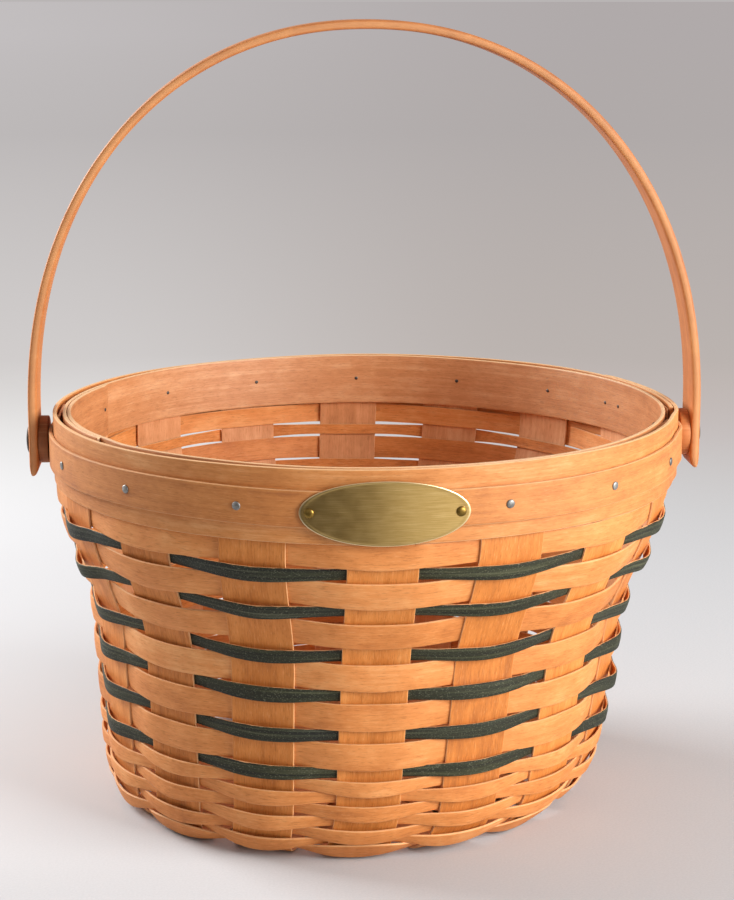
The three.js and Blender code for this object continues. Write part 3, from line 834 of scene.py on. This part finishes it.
def arch(t, inset):
    """Points of the arch from right to left, at a depth below its outer face."""
    c, s = np.cos(t), np.abs(np.sin(t))
    x = (handle_half - inset) * np.sign(c) * np.abs(c) ** (2 / ARCH_POWER)
    z = (arch_rise - inset) * s ** (2 / ARCH_POWER)
    return np.stack([handle_mid + x, np.zeros_like(t), spring_z + z], -1)


tail = np.concatenate([TAIL_ROUND * (1 - np.cos(np.linspace(0, math.pi / 2, TAIL_STEPS))),
                       np.linspace(TAIL_ROUND, spring_z - PIVOT_Z + HANDLE_TAIL, 12)[1:-1]])
tail_z = PIVOT_Z - HANDLE_TAIL + tail
fullness = np.sqrt(np.clip(1 - ((TAIL_ROUND - np.minimum(tail, TAIL_ROUND)) / TAIL_ROUND) ** 2, 0, 1))
taper_in, taper_out = 2.7 * (1 - fullness), 1.2 * (1 - fullness)
leg_in = np.stack([handle_half - HANDLE_T + taper_in, 0 * tail, tail_z], -1)
leg_out = np.stack([handle_half - taper_out, 0 * tail, tail_z], -1)
turn = np.linspace(0, math.pi, ARCH_STEPS + 1)
mirror = np.array([-1, 1, 1])
middle = np.array([handle_mid, 0, 0])
inner = np.concatenate([middle + leg_in, arch(turn, HANDLE_T), (middle + leg_in * mirror)[::-1]])
outer = np.concatenate([middle + leg_out, arch(turn, 0), (middle + leg_out * mirror)[::-1]])
path = (inner + outer) / 2
thickness = np.linalg.norm(outer - inner, axis=1)
narrow = np.ones(len(path))
narrow[:TAIL_STEPS] = 0.9 + 0.1 * fullness[:TAIL_STEPS]
narrow[-TAIL_STEPS:] = narrow[:TAIL_STEPS][::-1]
across = np.tile([0.0, 1.0, 0.0], (len(path), 1))
grow = np.stack([narrow, thickness / HANDLE_T], -1)
ring = strip_ring(HANDLE_W, HANDLE_T, HANDLE_EASE, 2)
shell = strip(path, across, unit(outer - inner), ring, 91.1, grow)
add_piece("handle_fine", [shell], HANDLE_WOOD, "handle", ["handle"], "handle_wood")


# Spacers, and rivets with a low head outside and a rolled flange inside, as radius and distance

RIVET_HEAD = ((7.2, 0.02), (7.5, 0.2), (7.45, 0.6), (6.9, 1.1), (5.6, 1.6), (3.4, 1.95), (0, 2.1))
RIVET_FLANGE = ((TUBE_R, -0.9), (2.3, -1.35), (PIN_R, -1.5), (4.2, -1.3), (4.8, -0.8), (4.9, -0.2),
                (4.7, 0.05), (PIN_R, 0.1))
hub = np.array([0, 0, PIVOT_Z])
for name, spacer_wood, (angle, spacer_in, handle_in, handle_out, rim_in) in zip(
    ("left", "right"), SPACER_WOODS, sides
):
    out = radial(angle)
    rim, bore, ease = SPACER_R, SPACER_BORE_R, SPACER_EASE
    a, b = spacer_in - 0.2, spacer_in + SPACER_T + 0.2
    profile = [
        (0, a + 1), (bore, a + 1), (bore, a), (rim - ease, a), (rim - 0.15, a + 0.15), (rim, a + ease),
        (rim, b - ease), (rim - 0.15, b - 0.15), (rim - ease, b), (bore, b), (bore, b - 1), (0, b - 1),
    ]
    points, faces = lathe(profile, hub, out, 64)[:2]
    grain = np.stack([points[:, 2], points[:, 1], points[:, 0] * 0.2], -1) * MM + (0, 0, 7.7)
    add_piece(f"{name}_spacer_fine", [(points, faces, grain, 0.0)], spacer_wood, "basket",
              [f"{name}_spacer"], "spacer_wood", 30)
    rivet = [(0, rim_in + TUBE_DEPTH), (TUBE_R, rim_in + TUBE_DEPTH)]
    rivet += [(r, rim_in + off) for r, off in RIVET_FLANGE]
    rivet += [(PIN_R, handle_out)]
    rivet += [(r, handle_out + off) for r, off in RIVET_HEAD]
    add_piece(f"{name}_rivet_fine", [lathe(rivet, hub, out, 64, 3)],
              BRONZE, "basket", [f"{name}_rivet"], "rivet_bronze", 50)


# Oval plate, bent round the trim, with a rolled border, and its two nails

PLATE_RINGS = (0, 0.3, 0.55, 0.75, 0.87, 0.925, 0.94, 0.955, 0.97, 0.985, 0.995, 1.0)
PLATE_BORDER = (0, 0, 0, 0, 0, 0, 0.05, 0.14, 0.18, 0.14, 0.06, -0.15)
PLATE_HIGHLIGHT_FROM = 0.98  # painted highlight: the border is painted bright outside this ring
PLATE_STEPS = 120
plate_back = PLATE_IN - 0.1
plate_rings = [(share, plate_back + PLATE_T + border, float(share > PLATE_HIGHLIGHT_FROM))
               for share, border in zip(PLATE_RINGS, PLATE_BORDER)]
plate_rings += [(share, plate_back, 0.0) for share in reversed(PLATE_RINGS)]
points, rings, grain, edge = [], [], [], []
for share, r, bright in plate_rings:
    steps = PLATE_STEPS if share else 1
    rings.append(range(len(points), len(points) + steps))
    for i in range(steps):
        a = TAU * i / PLATE_STEPS
        x, z = PLATE_L / 2 * share * math.cos(a), PLATE_H / 2 * share * math.sin(a)
        bent = FRONT + x / PLATE_IN
        points.append((r * math.cos(bent), r * math.sin(bent), PLATE_Z + z))
        grain.append((x * MM, 0.5, z * MM))
        edge.append(bright)
shell = (np.array(points), join_rings(rings, PLATE_STEPS), np.array(grain), np.array(edge))
add_piece("plate_fine", [shell], BRASS, "basket", ["plate"], "plate_brass", 35)
for i, side in enumerate((-1, 1)):
    out = radial(FRONT + side * NAIL_SPAN / 2 / PLATE_IN)
    seat = out * (plate_back + PLATE_T) + (0, 0, PLATE_Z)
    shank = [(0, 0.1), (0.8, 0.1), (0.8, -4), (0, -4.6)]
    head = dome(NAIL_HEAD_R, NAIL_HEAD_H, 0.2)
    shells = [lathe(head, seat, out, 32, i), lathe(shank, seat, out, 12, i)]
    add_piece(f"plate_nail_{i + 1}_fine", shells, NAIL_BRASS, "basket",
              [f"plate_nail_{i + 1}"], "plate_brass")


# Floor, light and camera, in metres

FLOOR_HALF = 3000  # wide enough for a level horizon
# Tints of the far floor's glow, painted light of a lit backdrop: paler on the left and nearer the basket
FAR_PLACES = (0.0, 0.12, 0.22, 0.6, 1.0)
LEFT_FLOOR = ("eeeeec", "e6e4e2", "d1cdcc", "bdb9b9", "c4c0c1")
RIGHT_FLOOR = ("d9d4d0", "c8bebb", "bbb3af", "b0aaa9", "b0aaaa")
# Tones of the painted reflection in front, from left to right
PAINTED_REFLECTION_TONES = ("2b2419", "776b56", "fff6e6")
PAPER_TONES = (linear("c2c2c4"), linear("c8c8ca"))
# Paper tone of the painted light on the left of the basket
PAPER_PAINTED_LIGHT = linear("d4d4d6")
AMBIENT = (0.26, 0.26, 0.265, 1)
BACKDROP = linear("bab5b5")
AIM_Z = 0.15
CAMERA_AWAY = 1.1
CAMERA_Z = 0.4107
CAMERA_TURN = math.radians(-3.5)
CAMERA_DOWN = math.radians(11.89)
FOCAL_PX = 2133
SIDE_PX = 0.96
PICTURE_PX = 900
SENSOR = 36


def seen_rays(tree):
    """The rays of a tree's light path, and the share of those that show the background."""
    rays = tree.nodes.new("ShaderNodeLightPath").outputs
    seen = rays["Is Camera Ray"]
    for kind in ("Is Glossy Ray", "Is Transmission Ray"):
        node = tree.nodes.new("ShaderNodeMath")
        node.operation = "MAXIMUM"
        tree.links.new(seen, node.inputs[0])
        tree.links.new(rays[kind], node.inputs[1])
        seen = node.outputs[0]
    return rays, seen


floor_mesh = bpy.data.meshes.new("floor")
corners = [(x * FLOOR_HALF, y * FLOOR_HALF, 0) for x, y in ((-1, -1), (1, -1), (1, 1), (-1, 1))]
floor_mesh.from_pydata(corners, [], [(0, 1, 2, 3)])
floor = bpy.data.objects.new("floor", floor_mesh)
bpy.context.scene.collection.objects.link(floor)
n = Nodes("floor_paper")
place = n.add("ShaderNodeNewGeometry").outputs["Position"]
away = n.add("ShaderNodeVectorMath", operation="LENGTH")
n.link(place, away.inputs[0])
away = away.outputs["Value"]
split = n.add("ShaderNodeSeparateXYZ")
n.link(place, split.inputs[0])
floor_x, floor_y = split.outputs[:2]
rays, seen = seen_rays(n.tree)
# Painted light: far away the floor glows in these tints for camera and glossy rays, paler on the left
sideways = n.math("DIVIDE", floor_x, n.math("ADD", away, 0.3))
far = n.span(n.math("LOGARITHM", away, 10.0), -0.2, 1.4, 0, 1, False)
left_tint = n.ramp(far, FAR_PLACES, LEFT_FLOOR)
right_tint = n.ramp(far, FAR_PLACES, RIGHT_FLOOR)
tint = n.mix(n.span(sideways, -0.18, 0.18, 0, 1), left_tint, right_tint)
# Painted reflection: for glossy rays the floor in front glows as a room, dark on the left and bright on
# the right, which the metal reflects
near = n.math("MULTIPLY", n.span(floor_y, -0.3, -0.55, 0, 1), rays["Is Glossy Ray"])
painted_reflection_tint = n.ramp(n.span(sideways, -0.4, 0.4, 0, 1), (0.0, 0.45, 0.8), PAINTED_REFLECTION_TONES)
tint = n.mix(near, tint, painted_reflection_tint)
speck = n.noise(n.scaled(place, (900, 900, 900)), detail=2)
paper = n.mix(n.span(speck, 0.3, 0.7, 0, 1), *PAPER_TONES)
# Painted light: the paper is paler on the left of the basket, which lightens the shadow that the key lamp
# casts there
painted_light_left = n.math("MULTIPLY", n.span(floor_x, -0.04, -0.24, 0, 1), n.span(floor_y, -0.18, -0.02, 0, 1))
painted_light_left = n.math("MULTIPLY", painted_light_left, n.span(floor_y, 0.5, 0.2, 0.25, 1))
n.shade(Base_Color=n.mix(painted_light_left, paper, PAPER_PAINTED_LIGHT), Roughness=0.75)
n.shader.inputs["Specular IOR Level"].default_value = 0.1
glow = n.add("ShaderNodeEmission")
n.link(tint, glow.inputs[0])
glowing = n.math("MULTIPLY", seen, n.span(away, 0.45, 1.3, 0, 1))
blend = n.add("ShaderNodeMixShader")
n.link(n.math("MAXIMUM", near, glowing), blend.inputs[0])
n.link(n.shader.outputs[0], blend.inputs[1])
n.link(glow.outputs[0], blend.inputs[2])
n.link(blend.outputs[0], n.output.inputs[0])
floor_mesh.materials.append(n.material)

world = bpy.data.worlds.new("studio")
bpy.context.scene.world = world
world.use_nodes = True
sky = world.node_tree
pick = sky.nodes.new("ShaderNodeMix")
pick.data_type = "RGBA"
sky.links.new(seen_rays(sky)[1], pick.inputs[0])
pick.inputs[6].default_value = AMBIENT
pick.inputs[7].default_value = BACKDROP
sky.links.new(pick.outputs[2], sky.nodes["Background"].inputs[0])


def softbox(name, turn, height, away, size, watts, colour):
    """A lamp at an angle from the front, towards the right, that looks at the basket."""
    lamp = bpy.data.lights.new(name, "AREA")
    lamp.shape = "RECTANGLE"
    lamp.size, lamp.size_y = size
    lamp.energy = watts
    lamp.color = colour
    thing = bpy.data.objects.new(name, lamp)
    turn = math.radians(turn)
    thing.location = (away * math.sin(turn), -away * math.cos(turn), height)
    aim = Vector((0, 0, AIM_Z)) - thing.location
    thing.rotation_euler = aim.to_track_quat("-Z", "Y").to_euler()
    bpy.context.scene.collection.objects.link(thing)


softbox("key", 56, 0.66, 1.55, (1.1, 0.9), 44, (1, 0.985, 0.965))
softbox("side", -121, 0.9, 1.45, (0.9, 0.8), 37, (1, 0.99, 0.98))

lens = bpy.data.cameras.new("camera")
lens.sensor_width = SENSOR
lens.lens = FOCAL_PX * SENSOR / PICTURE_PX
camera = bpy.data.objects.new("camera", lens)
camera.location = (math.sin(CAMERA_TURN) * CAMERA_AWAY, -math.cos(CAMERA_TURN) * CAMERA_AWAY, CAMERA_Z)
camera.rotation_euler = (math.pi / 2 - CAMERA_DOWN, 0, CAMERA_TURN - SIDE_PX / FOCAL_PX)
bpy.context.scene.collection.objects.link(camera)
bpy.context.scene.camera = camera
bpy.context.scene.view_settings.view_transform = "Standard"
